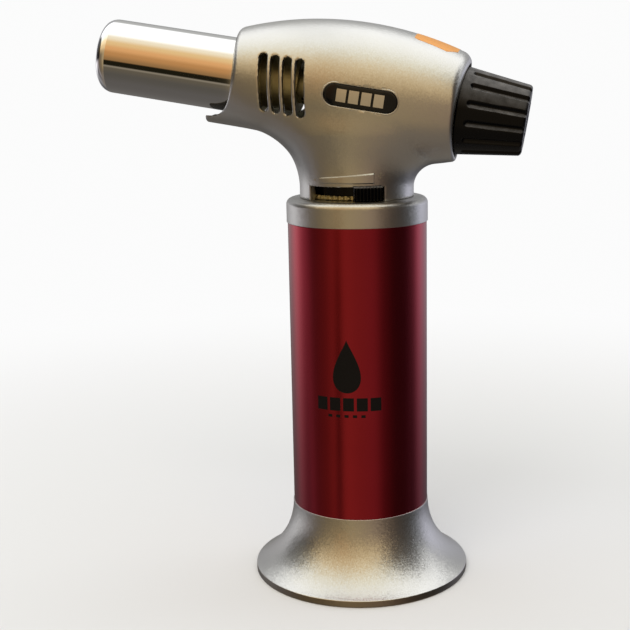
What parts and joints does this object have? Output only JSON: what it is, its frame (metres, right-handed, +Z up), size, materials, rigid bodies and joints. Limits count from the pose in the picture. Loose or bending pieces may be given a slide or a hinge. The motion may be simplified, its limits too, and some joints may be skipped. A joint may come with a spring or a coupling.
{
  "type": "butane torch",
  "caption": "Hand-held butane torch with a sleeved fuel tank on a flared foot, a tilted chromed flame tube, a flow lever in the neck and a sprung push-and-turn knob.",
  "frame": {"origin": "centre of the foot's underside, on the axis of the fuel tank", "axes": "+Z up along the tank, -X towards the flame tube's mouth, +X towards the knob, -Y towards the flow window and lever"},
  "size_m": [0.1241, 0.0636, 0.1629],
  "materials": {
    "silver_paint": "satin metallic silver paint",
    "red_anodised": "satin metallic wine red",
    "chrome": "polished",
    "black_satin": "satin moulded plastic",
    "black_gloss": "gloss",
    "brass": "turned, lightly tarnished",
    "steel": "plain",
    "white_plastic": "moulded",
    "ceramic": "glazed ceramic",
    "seal_rubber": "nitrile seal",
    "tank_alloy": "drawn",
    "label": "printed film",
    "lead_cover": "wire insulation"
  },
  "bodies": {
    "torch": {"base_foot": "silver_paint", "tank_sleeve": "red_anodised", "fuel_tank": "tank_alloy", "tank_lid": "tank_alloy", "lid_seal": "seal_rubber", "tank_collar": "silver_paint", "pickup_tube": "white_plastic", "refill_valve_body": "brass", "refill_spring": "steel", "refill_seal": "seal_rubber", "valve_body": "brass", "valve_spring": "steel", "valve_seal": "seal_rubber", "valve_nut": "brass", "valve_housing": "white_plastic", "lever_pin": "steel", "gas_hose": "seal_rubber", "jet_holder": "brass", "gas_jet": "brass", "mixing_tube": "brass", "burner_tube": "brass", "flame_holder": "steel", "tube_spacer": "brass", "flame_tube": "chrome", "electrode": "steel", "electrode_insulator": "ceramic", "ignition_lead": "lead_cover", "piezo_body": "black_satin", "knob_spring": "steel", "head_shell_left": "silver_paint", "head_shell_right": "silver_paint", "head_screws": "steel", "badge_left": "black_gloss", "badge_right": "black_gloss", "top_label": "label"},
    "refill_stem": {"refill_stem": "brass"},
    "valve_stem": {"valve_stem": "brass"},
    "valve_lever": {"valve_lever": "white_plastic"},
    "adjuster": {"adjust_ring": "brass", "adjust_lever": "black_satin"},
    "piezo_plunger": {"piezo_plunger": "white_plastic"},
    "knob_carriage": {"knob_stem": "black_satin", "knob_clip": "steel"},
    "knob": {"control_knob": "black_satin"}
  },
  "joints": [
    {"name": "knob_push", "type": "slide", "parent": "torch", "child": "knob_carriage", "axis": [-0.9867, 0, 0.1625], "range_m": [0, 0.005], "stiffness_N_per_m": 800, "springref_m": -0.002, "deforming": ["knob_spring"]},
    {"name": "knob_turn", "type": "hinge", "parent": "knob_carriage", "child": "knob", "pos_m": [0.03947, 0, 0.1344], "axis": [0.9867, 0, -0.1625], "range_deg": [0, 60]},
    {"name": "piezo_press", "type": "slide", "parent": "torch", "child": "piezo_plunger", "axis": [-0.9867, 0, 0.1625], "range_m": [0, 0.005]},
    {"name": "valve_lever_tilt", "type": "hinge", "parent": "torch", "child": "valve_lever", "pos_m": [-0.0075, 0, 0.1265], "axis": [0, -1, 0], "range_deg": [0, 10]},
    {"name": "valve_lift", "type": "slide", "parent": "torch", "child": "valve_stem", "axis": [0, 0, 1], "range_m": [0, 0.0013], "deforming": ["valve_spring"]},
    {"name": "flow_adjust", "type": "hinge", "parent": "torch", "child": "adjuster", "pos_m": [0, 0, 0.114], "axis": [0, 0, 1], "range_deg": [-46, 2]},
    {"name": "refill_press", "type": "slide", "parent": "torch", "child": "refill_stem", "axis": [0, 0, 1], "range_m": [0, 0.0012], "stiffness_N_per_m": 600, "springref_m": -0.001, "deforming": ["refill_spring"]}
  ],
  "couplings": [
    {"joint": "piezo_press", "follows": "knob_push", "ratio": 1},
    {"joint": "valve_lever_tilt", "follows": "knob_push", "rad_per_m": 34.557},
    {"joint": "valve_lift", "follows": "knob_push", "ratio": 0.2574}
  ]
}
